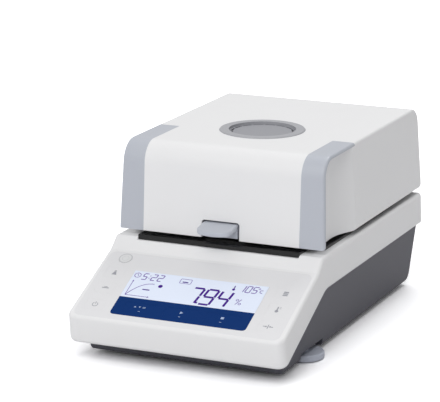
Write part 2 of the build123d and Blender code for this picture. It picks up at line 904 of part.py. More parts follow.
inlet_face = Plane.XZ.offset(-lower_back - inlet_flange)
with BuildPart() as mains_inlet:
    with BuildSketch(Plane.XZ.offset(-lower_back)):
        with Locations((inlet_x, inlet_z)):
            RectangleRounded(inlet_cut[0] + inlet_rim[0], inlet_cut[1] + inlet_rim[1], inlet_corner)
    extrude(amount=-inlet_flange)
    with BuildSketch(Plane.XZ.offset(-lower_back)):
        with Locations((inlet_x, inlet_z)):
            Rectangle(inlet_cut[0] - 2 * socket_fit, inlet_cut[1] - 2 * socket_fit)
    extrude(amount=inlet_depth)
    with BuildSketch(inlet_face):
        with Locations((inlet_x, inlet_z + socket_up)):
            Rectangle(*socket_size)
        corners = vertices().group_by(Axis.Y)[-1]
        chamfer(corners, length=socket_corner)
    extrude(amount=socket_depth, mode=Mode.SUBTRACT)
    with BuildSketch(inlet_face):
        with Locations((inlet_x, inlet_z - fuse_down)):
            Rectangle(fuse_size[0] + 2 * fuse_gap, fuse_size[1] + 2 * fuse_gap)
    extrude(amount=fuse_depth, mode=Mode.SUBTRACT)
    with BuildSketch(inlet_face.offset(socket_depth)):
        with Locations(
            (inlet_x - pin_pitch, inlet_z + pin_up),
            (inlet_x + pin_pitch, inlet_z + pin_up),
            (inlet_x, inlet_z + pin_earth_up),
        ):
            Rectangle(*pin_size)
    extrude(amount=-pin_length)
finish(mains_inlet, "mains_inlet")

with BuildPart() as fuse_drawer:
    with BuildSketch(inlet_face):
        with Locations((inlet_x, inlet_z - fuse_down)):
            Rectangle(*fuse_size)
    extrude(amount=fuse_depth - fuse_gap)
finish(fuse_drawer, "fuse_drawer")

with BuildPart() as serial_connector:
    with BuildSketch(Plane.XZ.offset(-lower_back)):
        with Locations((serial_x, serial_z)):
            RectangleRounded(*serial_flange, serial_corner)
    extrude(amount=-serial_flange_thickness)
    with BuildSketch(Plane.XZ.offset(-lower_back - serial_flange_thickness)):
        with Locations((serial_x, serial_z)):
            Trapezoid(*serial_plug, serial_plug_angle, rotation=180)
    extrude(amount=-serial_plug_depth)
    with BuildSketch(Plane.XZ.offset(-lower_back)):
        with Locations((serial_x, serial_z)):
            Rectangle(serial_cut[0] - 2 * socket_fit, serial_cut[1] - 2 * socket_fit)
    extrude(amount=serial_depth)
finish(serial_connector, "serial_connector")

# Feet: a stud with a hand wheel in a threaded insert, turning on a pad; one rubber foot behind
for side, x in (("left", -foot_x), ("right", foot_x)):
    with BuildPart() as foot_insert:
        with BuildSketch(Plane.XY.offset(foot_slot_top)):
            with Locations((x, foot_y)):
                Circle(insert_radius)
                Circle(stud_radius + stud_gap, mode=Mode.SUBTRACT)
        extrude(amount=insert_height)
    finish(foot_insert, f"foot_insert_{side}")

    with BuildPart() as foot_pad:
        with BuildSketch():
            with Locations((x, foot_y)):
                Circle(foot_pad_radius)
        extrude(amount=foot_pad_height)
        chamfer(faces().sort_by(Axis.Z)[-1].edges(), length=foot_pad_edge)
        with BuildSketch(Plane.XY.offset(foot_pad_height)):
            with Locations((x, foot_y)):
                Circle(stem_radius)
        extrude(amount=foot_ball_height)
    finish(foot_pad, f"foot_pad_{side}")

    wheel_low = foot_pad_height + foot_pad_gap
    with BuildPart() as foot_wheel:
        with BuildSketch(Plane.XY.offset(wheel_low)):
            with Locations((x, foot_y)):
                Circle(foot_wheel_radius)
        extrude(amount=foot_wheel_height)
        chamfer(faces().sort_by(Axis.Z)[-1].edges(), length=foot_wheel_edge)
        with BuildSketch(Plane.XY.offset(wheel_low + foot_wheel_height)):
            with Locations((x, foot_y)):
                Circle(stud_radius)
        extrude(amount=stud_top - wheel_low - foot_wheel_height)
        with BuildSketch(Plane.XY.offset(wheel_low)):
            with Locations((x, foot_y)):
                Circle(stem_radius + stud_gap)
        extrude(amount=foot_ball_height + foot_pad_gap, mode=Mode.SUBTRACT)
    finish(foot_wheel, f"foot_wheel_{side}")

with BuildPart() as rear_foot:
    with BuildSketch():
        with Locations((0, rear_foot_y)):
            Circle(rear_foot_radius)
    extrude(amount=ground_gap)
    chamfer(faces().sort_by(Axis.Z)[0].edges(), length=rear_foot_edge)
    with BuildSketch(Plane.XY.offset(ground_gap)):
        with Locations((0, rear_foot_y)):
            Circle(stem_radius)
    extrude(amount=lower_wall + 1)
finish(rear_foot, "rear_foot")

with BuildPart() as case_screws:
    for place, split in ((front_post, front_post_split), (rear_post, rear_post_split)):
        with BuildSketch(Plane.XY.offset(ground_gap + screw_sink)):
            with Locations(*both_sides(place)):
                Circle(case_screw_radius)
        extrude(amount=split + case_screw_grip - screw_tip_gap - ground_gap - screw_sink)
    with BuildSketch(Plane.XY.offset(ground_gap + screw_sink)):
        with Locations(*both_sides(front_post), *both_sides(rear_post)):
            Circle(case_screw_head)
    extrude(amount=-case_screw_head_height)
finish(case_screws, "case_screws")

# Hinge: brackets on the deck, arms on the lid, one pin for each pair
for side, x in (("left", -hinge_x), ("right", hinge_x)):
    outward = 1 if x > 0 else -1
    arm_x = x + outward * (hinge_leaf + hinge_leaf_gap)
    with BuildPart() as bracket:
        with BuildSketch(Plane.YZ.offset(x)):
            with BuildLine():
                Polyline(
                    (bracket_front, deck_height),
                    (bracket_back, deck_height),
                    (bracket_back, deck_height + bracket_foot),
                    (hinge_y + hinge_boss * 0.6, hinge_z - hinge_boss * 0.8),
                    (hinge_y - hinge_boss * 0.6, hinge_z + hinge_boss * 0.8),
                    (bracket_back - bracket_notch, deck_height + bracket_foot),
                    (bracket_front, deck_height + bracket_foot),
                    close=True,
                )
            make_face()
            with Locations((hinge_y, hinge_z)):
                Circle(hinge_boss)
                Circle(hinge_pin_radius, mode=Mode.SUBTRACT)
        extrude(amount=hinge_leaf / 2, both=True)
    finish(bracket, f"hinge_bracket_{side}")

    with BuildPart() as arm:
        with BuildSketch(Plane.YZ.offset(arm_x)):
            with BuildLine():
                Polyline(
                    (hinge_y - hinge_boss, hinge_z),
                    (lid_back_at(hinge_z + arm_root) - lid_wall - arm_gap, hinge_z + arm_root),
                    (lid_back_at(arm_top) - lid_wall - arm_gap, arm_top),
                    (hinge_y - 3 * hinge_boss, arm_top),
                    close=True,
                )
            make_face()
            with Locations((hinge_y, hinge_z)):
                Circle(hinge_boss)
                Circle(hinge_pin_radius + hinge_running_gap, mode=Mode.SUBTRACT)
        extrude(amount=hinge_leaf / 2, both=True)
    finish(arm, f"hinge_arm_{side}")

    with BuildPart() as pin:
        with BuildSketch(Plane.YZ.offset(x - outward * hinge_leaf / 2)):
            with Locations((hinge_y, hinge_z)):
                Circle(hinge_pin_radius)
        extrude(amount=outward * (2 * hinge_leaf + hinge_leaf_gap))
    finish(pin, f"hinge_pin_{side}")

# Heating lid: outer form, shared by the shell and its corner trims
lid_profile = [
    (lid_front_at(lid_bottom), lid_bottom),
    (lid_front_at(lid_top), lid_top),
    (lid_back_at(lid_top), lid_top),
    (lid_back_at(lid_bottom), lid_bottom),
]
lid_radii = [0.0, lid_front_radius, lid_back_radius, lid_foot_radius]
lid_outer = drafted_body(lid_profile, lid_radii, lid_half, lid_bottom - 1, lid_top + 1)


def lid_room(inset, flank_inset):
    """Space inside the lid, drawn in from its outside and open below."""
    low = lid_bottom - lid_room_below
    points = [
        (lid_front_at(low), low),
        (lid_front_at(lid_top), lid_top),
        (lid_back_at(lid_top), lid_top),
        (lid_back_at(low), low),
    ]
    radii = [0.0, lid_front_radius, lid_back_radius, 0.0]
    return drafted_body(points, radii, lid_half, low, lid_top + 1, inset, flank_inset)


lid_under_trim = lid_room(trim_thickness, -lid_edge)
lid_inner = lid_room(lid_wall, lid_wall)
lid_inner_side = lid_room(trim_thickness + lid_wall, lid_wall)

front_plate_post = plate_front + plate_post_setback
back_plate_post = plate_back - plate_post_setback
plate_posts = (
    *both_sides((plate_post_x, front_plate_post)),
    *both_sides((plate_post_x, back_plate_post)),
)

with BuildPart() as lid_form:
    add(lid_outer)
    fillet(
        faces().filter_by(lambda f: abs(f.normal_at().X) > 0.9).edges().filter_by(
            lambda e: e.center().Z > lid_bottom + lid_foot_radius
        ),
        radius=lid_edge,
    )

with BuildPart() as trim_zone:
    with BuildSketch(Plane.XY.offset(lid_bottom - 1)):
        with Locations(*both_sides(((trim_inner_x + deck_width) / 2, trim_end_y - half_depth / 2))):
            Rectangle(deck_width - trim_inner_x, half_depth)
    extrude(amount=deck_height)

with BuildPart() as scoop_zone:
    with BuildSketch(Plane.XY.offset(lid_bottom - 5)):
        with BuildLine():
            ThreePointArc(
                (lid_bottom_width / 2 + 1, trim_end_y),
                (scoop_width_mid, trim_end_y + 0.3 * (scoop_deep_y - trim_end_y)),
                (scoop_width_in, scoop_deep_y),
            )
            Polyline(
                (scoop_width_in, scoop_deep_y),
                (scoop_width_in - 1, lid_front - 5),
                (lid_bottom_width, lid_front - 5),
                (lid_bottom_width, trim_end_y),
                (lid_bottom_width / 2 + 1, trim_end_y),
            )
        make_face()
    extrude(amount=deck_height)
    add(lid_under_trim, mode=Mode.INTERSECT)
    mirror(about=Plane.YZ)

with BuildPart() as trims:
    add(lid_form.part)
    add(trim_zone.part, mode=Mode.INTERSECT)
    add(lid_under_trim, mode=Mode.SUBTRACT)
for side, trim in (("left", trims.solids().sort_by(Axis.X)[0]), ("right", trims.solids().sort_by(Axis.X)[-1])):
    with BuildPart() as trim_piece:
        add(trim)
    finish(trim_piece, f"corner_trim_{side}")

with BuildPart() as front_room:
    add(lid_inner_side)
    with BuildSketch(Plane.XY.offset(lid_bottom - 1)):
        with Locations((0, trim_end_y + lid_wall - half_depth / 2)):
            Rectangle(2 * (scoop_width_in - 1 - lid_wall), half_depth)
    extrude(amount=deck_height, mode=Mode.INTERSECT)

with BuildPart() as back_room:
    add(lid_inner)
    with BuildSketch(Plane.XY.offset(lid_bottom - 1)):
        with Locations((0, trim_end_y + lid_wall + half_depth / 2)):
            Rectangle(2 * lid_bottom_width, half_depth)
        Rectangle(2 * (trim_inner_x - lid_wall), 2 * case_depth)
    extrude(amount=deck_height, mode=Mode.INTERSECT)

with BuildPart() as lid_shell:
    add(lid_form.part)
    add(trims.part, mode=Mode.SUBTRACT)
    add(scoop_zone.part, mode=Mode.SUBTRACT)
    add(front_room.part, mode=Mode.SUBTRACT)
    add(back_room.part, mode=Mode.SUBTRACT)
    # Recess of the handle in the lower edge of the front
    recess_half = handle_width / 2 + handle_gap
    recess_top = lid_bottom + handle_recess_height
    with BuildSketch(Plane.XY.offset(lid_bottom)):
        with Locations((0, lid_front + lid_wall / 2 + (handle_recess_depth + lid_wall / 2) / 2)):
            Rectangle(2 * (recess_half + lid_wall), handle_recess_depth + lid_wall / 2)
    extrude(amount=handle_recess_height + lid_wall)
    with BuildSketch(Plane.XZ.offset(-lid_front - handle_recess_depth)):
        with Locations((0, lid_bottom + handle_recess_height / 2)):
            Rectangle(2 * recess_half, handle_recess_height)
        fillet(vertices().group_by(Axis.Y)[-1], radius=handle_recess_corner)
    extrude(amount=handle_recess_depth + 5, mode=Mode.SUBTRACT)
    # Posts of the base plate and the round vent opening
    for place, roof in ((front_plate_post, trim_thickness + lid_wall), (back_plate_post, lid_wall)):
        with BuildSketch(Plane.XY.offset(plate_top)):
            with Locations(*both_sides((plate_post_x, place))):
                Circle(lid_post_radius)
        extrude(amount=lid_top - roof + 0.5 - plate_top)
    with BuildSketch(Plane.XY.offset(plate_top)):
        with Locations(*plate_posts):
            Circle(case_screw_radius)
    extrude(amount=lid_screw_length, mode=Mode.SUBTRACT)
    with BuildSketch(Plane.XY.offset(lid_top + 1)):
        with Locations((0, chamber_y)):
            Circle(neck_radius + neck_gap)
    extrude(amount=-10, mode=Mode.SUBTRACT)
finish(lid_shell, "lid_shell")

# Handle: block in the recess, upright face flush with the lid, tongue to the front
handle_y = lid_front_at(recess_top) - 0.6
handle_back = lid_front + handle_recess_depth
tongue_z = recess_top - handle_gap
with BuildPart() as lid_handle:
    with BuildSketch(Plane.YZ):
        with BuildLine():
            Polyline(
                (handle_back, lid_bottom + handle_lip),
                (handle_y + handle_lip, lid_bottom + handle_lip),
                (handle_y + handle_lip, lid_bottom + handle_gap),
                (handle_y, lid_bottom + handle_gap),
                (handle_y, tongue_z - handle_thickness),
                (handle_y - handle_reach, tongue_z - handle_thickness - handle_drop),
                (handle_y - handle_reach, tongue_z - handle_drop),
                (handle_y, tongue_z),
                (handle_back, tongue_z),
                close=True,
            )
        make_face()
    extrude(amount=handle_width / 2, both=True)
    # Bowed front with round corners
    with BuildSketch(Plane.XY.offset(lid_bottom)):
        with BuildLine():
            Polyline(
                (-handle_width / 2, handle_y - handle_reach + handle_bulge),
                (-handle_width / 2, handle_back),
                (handle_width / 2, handle_back),
                (handle_width / 2, handle_y - handle_reach + handle_bulge),
            )
            ThreePointArc(
                (handle_width / 2, handle_y - handle_reach + handle_bulge),
                (0, handle_y - handle_reach),
                (-handle_width / 2, handle_y - handle_reach + handle_bulge),
            )
        make_face()
        fillet(vertices().group_by(Axis.Y)[0], radius=handle_corner)
    extrude(amount=handle_recess_height, mode=Mode.INTERSECT)
    front_edges = edges().filter_by(lambda e: e.center().Y < handle_y - handle_edge)
    fillet(front_edges.filter_by(lambda e: abs(e.tangent_at(0.5).Z) < 0.6), radius=handle_edge)
finish(lid_handle, "lid_handle")

with BuildPart() as window_ring:
    with BuildSketch(Plane.YZ):
        with BuildLine():
            Polyline(
                (chamber_y + ring_inner_radius, lid_top + ring_height),
                (chamber_y + ring_radius - ring_edge, lid_top + ring_height),
                (chamber_y + ring_radius, lid_top),
                (chamber_y + neck_radius, lid_top),
                (chamber_y + neck_radius, lid_top - neck_depth),
                (chamber_y + grille_radius, lid_top - neck_depth),
                (chamber_y + grille_radius, grille_top),
                (chamber_y + ring_inner_radius, grille_top),
                close=True,
            )
        make_face()
    revolve(axis=Axis((0, chamber_y, 0), (0, 0, 1)))
finish(window_ring, "window_ring")

with BuildPart() as vent_grille:
    with BuildSketch(Plane.XY.offset(grille_top)):
        with Locations((0, chamber_y)):
            Circle(grille_radius)
        slot = Edge.make_circle(
            slot_radius, Plane((0, 0, 0)), start_angle=0, end_angle=slot_share * slot_turn
        )
        with Locations(
            *(Location((0, chamber_y, 0), (0, 0, turn * slot_turn)) for turn in range(16))
        ):
            SlotArc(slot, slot_width, mode=Mode.SUBTRACT)
    extrude(amount=-grille_thickness)
finish(vent_grille, "vent_grille")

# Heater: base plate with the round window, glass, ring lamp, reflector, sensor
plate_length = plate_back - plate_front

with BuildPart() as lid_base_plate:
    with BuildSketch(Plane.XY.offset(plate_top - plate_thickness)):
        with Locations((0, (plate_front + plate_back) / 2)):
            RectangleRounded(plate_width, plate_length, plate_corner)
        with Locations((0, chamber_y)):
            Circle(window_radius, mode=Mode.SUBTRACT)
        with Locations(*plate_posts):
            Circle(case_screw_radius + plate_hole_gap, mode=Mode.SUBTRACT)
        with Locations((sensor_x, chamber_y)):
            Circle(sensor_radius + sensor_gap, mode=Mode.SUBTRACT)
    extrude(amount=plate_thickness)
    with BuildSketch(Plane.XY.offset(plate_top)):
        with Locations((0, chamber_y)):
            with PolarLocations(reflector_radius - reflector_flange / 2, 3, 90):
                Circle(reflector_post_radius)
    extrude(amount=reflector_z - plate_top)
finish(lid_base_plate, "lid_base_plate")

with BuildPart() as protection_glass:
    with BuildSketch(Plane.XY.offset(plate_top)):
        with Locations((0, chamber_y)):
            Circle(window_radius + glass_edge)
    extrude(amount=glass_thickness)
finish(protection_glass, "protection_glass")

with BuildPart() as glass_clips:
    with BuildSketch(Plane.XY.offset(plate_top)):
        with Locations((0, chamber_y)):
            with PolarLocations(window_radius + glass_edge + clip_size[0] / 2 + 0.5, 4, 45):
                Rectangle(*clip_size)
    extrude(amount=glass_thickness)
    with BuildSketch(Plane.XY.offset(plate_top + glass_thickness)):
        with Locations((0, chamber_y)):
            with PolarLocations(window_radius + glass_edge + 1.5, 4, 45):
                Rectangle(clip_tab, clip_size[1])
    extrude(amount=clip_tab_thickness)
finish(glass_clips, "glass_clips")

reflector_steps = [
    (reflector_hole, reflector_hub),
    (reflector_hub_radius, reflector_hub),
    (reflector_hub_radius + reflector_hub_slope, reflector_roof),
    (reflector_roof_radius, reflector_roof),
    (reflector_radius - reflector_flange, 0.0),
    (reflector_radius, 0.0),
]
with BuildPart() as reflector:
    with BuildSketch(Plane.YZ):
        with BuildLine():
            Polyline(
                *((chamber_y + out, reflector_z + up) for out, up in reflector_steps),
                *(
                    (chamber_y + out, reflector_z + up + reflector_sheet)
                    for out, up in reversed(reflector_steps)
                ),
                close=True,
            )
        make_face()
    revolve(axis=Axis((0, chamber_y, 0), (0, 0, 1)))
    with BuildSketch(Plane.XY.offset(reflector_z)):
        with Locations((0, chamber_y + lamp_ring_radius + reflector_radius / 2)):
            Rectangle(2 * lamp_end_x + socket_block[0] + glass_edge, reflector_radius)
    extrude(amount=reflector_notch, mode=Mode.SUBTRACT)
finish(reflector, "reflector")

with BuildPart() as halogen_lamp:
    with BuildSketch(Plane.YZ):
        with Locations((chamber_y + lamp_ring_radius, lamp_z)):
            RegularPolygon(lamp_tube_radius, lamp_tube_sides)
    revolve(axis=Axis((0, chamber_y, 0), (0, 0, 1)))
    with BuildSketch(Plane.XZ.offset(-(chamber_y + lamp_ring_radius))):
        with Locations((-lamp_end_x, lamp_z), (lamp_end_x, lamp_z)):
            Circle(lamp_end_radius)
    extrude(amount=-(socket_y - chamber_y - lamp_ring_radius))
finish(halogen_lamp, "halogen_lamp")

with BuildPart() as lamp_sockets:
    with BuildSketch(Plane.XY.offset(plate_top)):
        socket_middle = socket_y + socket_block[1] / 2
        with Locations((-lamp_end_x, socket_middle), (lamp_end_x, socket_middle)):
            Rectangle(*socket_block)
    extrude(amount=lamp_z + socket_over_lamp - plate_top)
finish(lamp_sockets, "lamp_sockets")

with BuildPart() as temperature_sensor:
    with BuildSketch(Plane.XY.offset(sensor_low)):
        with Locations((sensor_x, chamber_y)):
            Circle(sensor_radius)
    extrude(amount=plate_top + sensor_collar_height - sensor_low)
    with BuildSketch(Plane.XY.offset(plate_top)):
        with Locations((sensor_x, chamber_y)):
            Circle(sensor_radius + sensor_collar)
    extrude(amount=sensor_collar_height)
finish(temperature_sensor, "temperature_sensor")

with BuildPart() as lid_screws:
    with BuildSketch(Plane.XY.offset(plate_top - plate_thickness)):
        with Locations(*plate_posts):
            Circle(case_screw_radius)
    extrude(amount=plate_thickness + lid_screw_length - 1)
    with BuildSketch(Plane.XY.offset(plate_top - plate_thickness)):
        with Locations(*plate_posts):
            Circle(lid_screw_head)
    extrude(amount=-lid_screw_head_height)
finish(lid_screws, "lid_screws")
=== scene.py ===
"""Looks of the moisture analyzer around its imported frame."""

from math import atan2, cos, pi, radians, sin

import bmesh
import bpy
from mathutils import Matrix, Vector


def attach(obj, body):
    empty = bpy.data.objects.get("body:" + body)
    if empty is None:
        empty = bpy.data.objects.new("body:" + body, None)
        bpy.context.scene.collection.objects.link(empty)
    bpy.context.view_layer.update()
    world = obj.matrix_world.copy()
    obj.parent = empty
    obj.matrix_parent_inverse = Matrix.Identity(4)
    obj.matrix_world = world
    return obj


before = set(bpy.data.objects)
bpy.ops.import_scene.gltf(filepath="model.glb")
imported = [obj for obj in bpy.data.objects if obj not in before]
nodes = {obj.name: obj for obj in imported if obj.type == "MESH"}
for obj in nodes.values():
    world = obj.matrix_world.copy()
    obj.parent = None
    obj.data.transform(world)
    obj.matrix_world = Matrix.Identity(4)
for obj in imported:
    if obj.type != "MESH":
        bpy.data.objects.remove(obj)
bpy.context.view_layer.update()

MM = 0.001
BLACK = (0.0, 0.0, 0.0, 1.0)
WHITE = (1.0, 1.0, 1.0, 1.0)

# Keypad slope: its lower front edge, run and rise, as the case is built
LIP_Y, LIP_Z = -167.0 * MM, 38.5 * MM
SLOPE_RUN, SLOPE_RISE = 79.0, 36.5

# Heights of printed layers above the slope
LIFT = 0.06 * MM
PRINT = 0.08 * MM

# Places on the slope in millimetres, across from the middle and up from the lower edge
DISPLAY_HALF = 60.0
DISPLAY_LOW, DISPLAY_HIGH = 30.8, 63.8
STRIP_LOW, STRIP_HIGH, STRIP_CORNER = 8.9, 30.7, 3.2
SOFT_KEY_X = {"key_soft_left": -36.0, "key_soft_middle": 0.0, "key_soft_right": 36.0}
SOFT_KEY_UP = 19.0
SOFT_KEY_SIZE = (30.0, 13.0)
SOFT_SIGN_UP, SOFT_DASH_UP = 20.3, 15.4
SIDE_KEY_X = 76.5
SIDE_KEY_UP = (17.5, 38.5, 58.0)
BUBBLE = (-75.0, 77.2)
BUBBLE_RADIUS, BUBBLE_RIM, BUBBLE_MARK_RADIUS = 5.9, 0.9, 3.0

# Figures of the display: text, place of the first figure, height, pitch and width of a bar
RESULT_FIGURES = ("7.94", -3.9, 33.4, 18.4, 12.8, 2.1)
TIMER_FIGURES = ("5:22", -50.8, 54.0, 7.4, 6.0, 0.8)
HEAT_FIGURES = ("105", 36.4, 53.8, 7.6, 5.6, 0.8)
FIGURE_SLANT, FIGURE_GAP = 0.16, 0.2

# Graph of the display: its origin, the length of its axes and the height of its curve
GRAPH = Vector((-56.4, 33.4))
GRAPH_WIDTH, GRAPH_HEIGHT = 20.0, 17.2
CURVE_WIDTH, CURVE_HEIGHT, CURVE_STEPS, CURVE_BEND = 19.8, 16.4, 9, 2.4
AXIS_LINE, CURVE_LINE = 0.5, 0.6
ARROW_HALF, ARROW_LENGTH, ARROW_LAP = 0.9, 1.8, 0.2

# Camera where the photograph was taken from
CAMERA_PLACE = (0.7599, -1.7830, 0.5979)
CAMERA_TURN, CAMERA_DROP = radians(23.95), radians(14.26)
CAMERA_LENS, CAMERA_SENSOR = 191.6, 36.0

# Box lights: name, place, size in metres and power in watts, aimed at the middle of the case
LIGHTS = (
    ("key_light", (0.15, -1.6, 1.6), 1.6, 21.5),
    ("top_light", (0.1, 1.1, 1.8), 0.9, 13.0),
)
LIGHT_AIM = Vector((0.0, 0.0, 0.08))

# Surrounding: its strength, how it falls off to the right, and its strength to the camera
WORLD_STRENGTH, WORLD_FALL, WORLD_SEEN = 0.51, -0.18, 1.0

# Floor: the colour that lights the case, the colour seen, and where it fades into the surrounding
FLOOR_SIZE = 60.0
FLOOR_BOUNCE = (0.8, 0.8, 0.81, 1.0)
FLOOR_SEEN = (1.42, 1.42, 1.44, 1.0)
FLOOR_FADE = (0.5, 1.5)


class Value:
    """A socket in a material, on which arithmetic adds Math nodes."""

    def __init__(self, finish, socket):
        self.finish = finish
        self.socket = socket

    def math(self, operation, other):
        return self.finish.node("Math", {"operation": operation}, self, other)[0]

    def __add__(self, other):
        return self.math("ADD", other)

    def __mul__(self, other):
        return self.math("MULTIPLY", other)

    __radd__ = __add__
    __rmul__ = __mul__


class Finish:
    """A node material while it is being built around one Principled shader."""

    def __init__(self, name):
        self.material = bpy.data.materials.new(name)
        self.material.use_nodes = True
        self.tree = self.material.node_tree
        self.shader = self.tree.nodes["Principled BSDF"]

    def node(self, kind, settings, *inputs, **named):
        """Add a node: its settings first, then the values or links of its sockets."""
        made = self.tree.nodes.new("ShaderNode" + kind)
        for key, value in settings.items():
            setattr(made, key, value)
        for position, value in enumerate(inputs):
            self.feed(made.inputs[position], value)
        for key, value in named.items():
            self.feed(made.inputs[key.replace("_", " ")], value)
        return [Value(self, socket) for socket in made.outputs]

    def feed(self, socket, value):
        if isinstance(value, Value):
            self.tree.links.new(value.socket, socket)
        else:
            socket.default_value = value

    def set(self, **sockets):
        """Set or link sockets of the shader, spaces in their names written as underscores."""
        for key, value in sockets.items():
            self.feed(self.shader.inputs[key.replace("_", " ")], value)

    def place(self):
        """Coordinates of the object, in metres."""
        return self.node("TexCoord", {})[3]

    def noise(self, scale, detail=3.0, roughness=0.5):
        return self.node(
            "TexNoise", {}, Vector=self.place(), Scale=scale, Detail=detail, Roughness=roughness
        )[0]

    def bump(self, height, strength, distance):
        self.set(
            Normal=self.node("Bump", {}, Height=height, Strength=strength, Distance=distance)[0]
        )

    def blend(self, amount, first, second):
        """Mix two colours by a value."""
        mix = self.tree.nodes.new("ShaderNodeMix")
        mix.data_type = "RGBA"
        colours = [socket for socket in mix.inputs if socket.type == "RGBA"]
        for socket, value in zip((mix.inputs[0], *colours), (amount, first, second)):
            self.feed(socket, value)
        return Value(self, next(socket for socket in mix.outputs if socket.type == "RGBA"))


def shade(red, green, blue):
    """Linear colour from display values out of 255."""
    def linear(value):
        value = value / 255
        return value / 12.92 if value <= 0.04045 else ((value + 0.055) / 1.055) ** 2.4

    return (linear(red), linear(green), linear(blue), 1.0)


def darker(colour, share):
    """The colour taken down to a share of its brightness."""
    return tuple(part * share for part in colour[:3]) + (1.0,)


def moulded(name, colour, roughness, depth=0.00002):
    """Injection-moulded plastic with a fine spark-eroded grain."""
    finish = Finish(name)
    finish.set(Base_Color=finish.blend(finish.noise(14.0, 2.0), colour, darker(colour, 0.98)))
    grains = finish.noise(2600.0, 2.0, 0.6)
    finish.set(Roughness=grains * 0.10 + (roughness - 0.05), IOR=1.49)
    finish.bump(grains, 0.25, depth)
    return finish.material


def printed(name, colour, roughness, gloss=0.5):
    """Smooth printed or lacquered surface with slight unevenness."""
    finish = Finish(name)
    ripple = finish.noise(60.0, 2.0)
    finish.set(
        Base_Color=finish.blend(ripple, colour, darker(colour, 0.97)),
        Roughness=ripple * 0.06 + (roughness - 0.03),
        Specular_IOR_Level=gloss,
    )
    return finish.material


def clear(name, tint, alpha, roughness=0.05):
    """Clear plastic or glass, seen as a thin gloss over what lies behind it."""
    finish = Finish(name)
    haze = finish.noise(40.0) * 0.02 + roughness
    finish.set(Base_Color=tint, Roughness=haze, Alpha=alpha, IOR=1.5)
    return finish.material


def brushed(name, colour, roughness):
    """Sheet metal with the fine lines of its brushing."""
    finish = Finish(name)
    stretched = finish.node("Mapping", {}, Vector=finish.place(), Scale=(1.0, 40.0, 1.0))[0]
    lines = finish.node("TexNoise", {}, Vector=stretched, Scale=300.0, Detail=3.0)[0]
    finish.set(
        Base_Color=finish.blend(lines, colour, darker(colour, 0.85)),
        Metallic=1.0,
        Roughness=lines * 0.14 + roughness,
    )
    finish.bump(lines, 0.1, 0.00001)
    return finish.material


def backlit(name, colour, glow):
    """Face of the display with its backlight."""
    finish = Finish(name)
    tint = finish.blend(finish.noise(18.0, 1.0), colour, darker(colour, 0.94))
    finish.set(Base_Color=tint, Roughness=0.35, Emission_Color=tint, Emission_Strength=glow)
    return finish.material


white = moulded("white_moulding", shade(235, 235, 236), 0.42)
dark = moulded("dark_moulding", shade(79, 79, 88), 0.5, depth=0.00004)
grey = moulded("grey_moulding", shade(186, 190, 199), 0.36)
handle_grey = moulded("handle_moulding", shade(190, 194, 203), 0.36)
ring_grey = moulded("ring_moulding", shade(168, 169, 174), 0.4)
grille_grey = moulded("grille_moulding", shade(150, 151, 157), 0.5)
black = moulded("black_moulding", shade(13, 13, 15), 0.27)
foot_grey = moulded("foot_moulding", shade(190, 195, 208), 0.45)
foil = printed("keypad_foil_print", shade(228, 228, 230), 0.36)
blue = printed("blue_print", shade(10, 50, 110), 0.45, gloss=0.05)
icon_grey = printed("icon_print", shade(158, 160, 168), 0.4)
icon_pale = printed("icon_pale_print", shade(168, 186, 216), 0.4)
segment = printed("display_segment", shade(72, 28, 140), 0.4, gloss=0.1)
segment_soft = printed("display_segment_soft", shade(112, 80, 168), 0.4, gloss=0.1)
level_grey = printed("level_ring_print", shade(196, 197, 200), 0.35)
level_pale = printed("level_liquid", shade(226, 227, 228), 0.15)
lcd = backlit("display_face", shade(216, 224, 240), 0.17)
window = clear("display_window_gloss", (0.95, 0.97, 1.0, 1.0), 0.10)
glass = clear("lid_glass", (0.9, 0.95, 0.95, 1.0), 0.25)
bubble_glass = clear("bubble_glass", (0.85, 0.9, 0.95, 1.0), 0.25)
quartz = clear("lamp_quartz", (0.95, 0.94, 0.9, 1.0), 0.45)
steel = brushed("brushed_sheet", (0.62, 0.62, 0.63, 1.0), 0.24)
machined = brushed("machined_metal", (0.50, 0.50, 0.51, 1.0), 0.3)
aluminium = brushed("bright_aluminium", (0.80, 0.80, 0.81, 1.0), 0.18)
ceramic = moulded("lamp_socket_ceramic", shade(226, 222, 210), 0.6)
board_green = printed("board_mask", shade(20, 92, 56), 0.3)
rubber = moulded("foot_rubber", shade(36, 36, 38), 0.75)

node_finishes = {
    white: ["upper_housing", "lid_shell"],
    dark: ["lower_housing"],
    grey: ["corner_trim_left", "corner_trim_right"],
    handle_grey: ["lid_handle"],
    ring_grey: ["window_ring"],
    grille_grey: ["vent_grille"],
    black: ["chamber_tray", "mains_inlet", "fuse_drawer"],
    foot_grey: ["foot_wheel_left", "foot_wheel_right"],
    foil: [
        "keypad_foil", "key_power", "key_print", "key_a", "key_tare", "key_temperature", "key_b",
    ],
    blue: ["key_soft_left", "key_soft_middle", "key_soft_right"],
    lcd: ["lcd_module"],
    window: ["display_window"],
    glass: ["protection_glass"],
    bubble_glass: ["level_bubble"],
    quartz: ["halogen_lamp"],
    steel: ["heat_shield", "draft_shield", "lid_base_plate", "glass_clips", "serial_connector"],
    machined: [
        "hinge_bracket_left", "hinge_bracket_right", "hinge_pin_left", "hinge_pin_right",
        "hinge_arm_left", "hinge_arm_right", "case_screws", "lid_screws",
        "foot_insert_left", "foot_insert_right", "temperature_sensor",
    ],
    aluminium: ["load_cell", "load_cell_bracket", "sample_pan", "pan_support", "reflector"],
    ceramic: ["lamp_sockets", "key_switches"],
    board_green: ["control_board", "main_board", "power_supply"],
    rubber: ["foot_pad_left", "foot_pad_right", "rear_foot"],
}
for finish_material, names in node_finishes.items():
    for node_name in names:
        for material_slot in nodes[node_name].material_slots:
            material_slot.material = finish_material

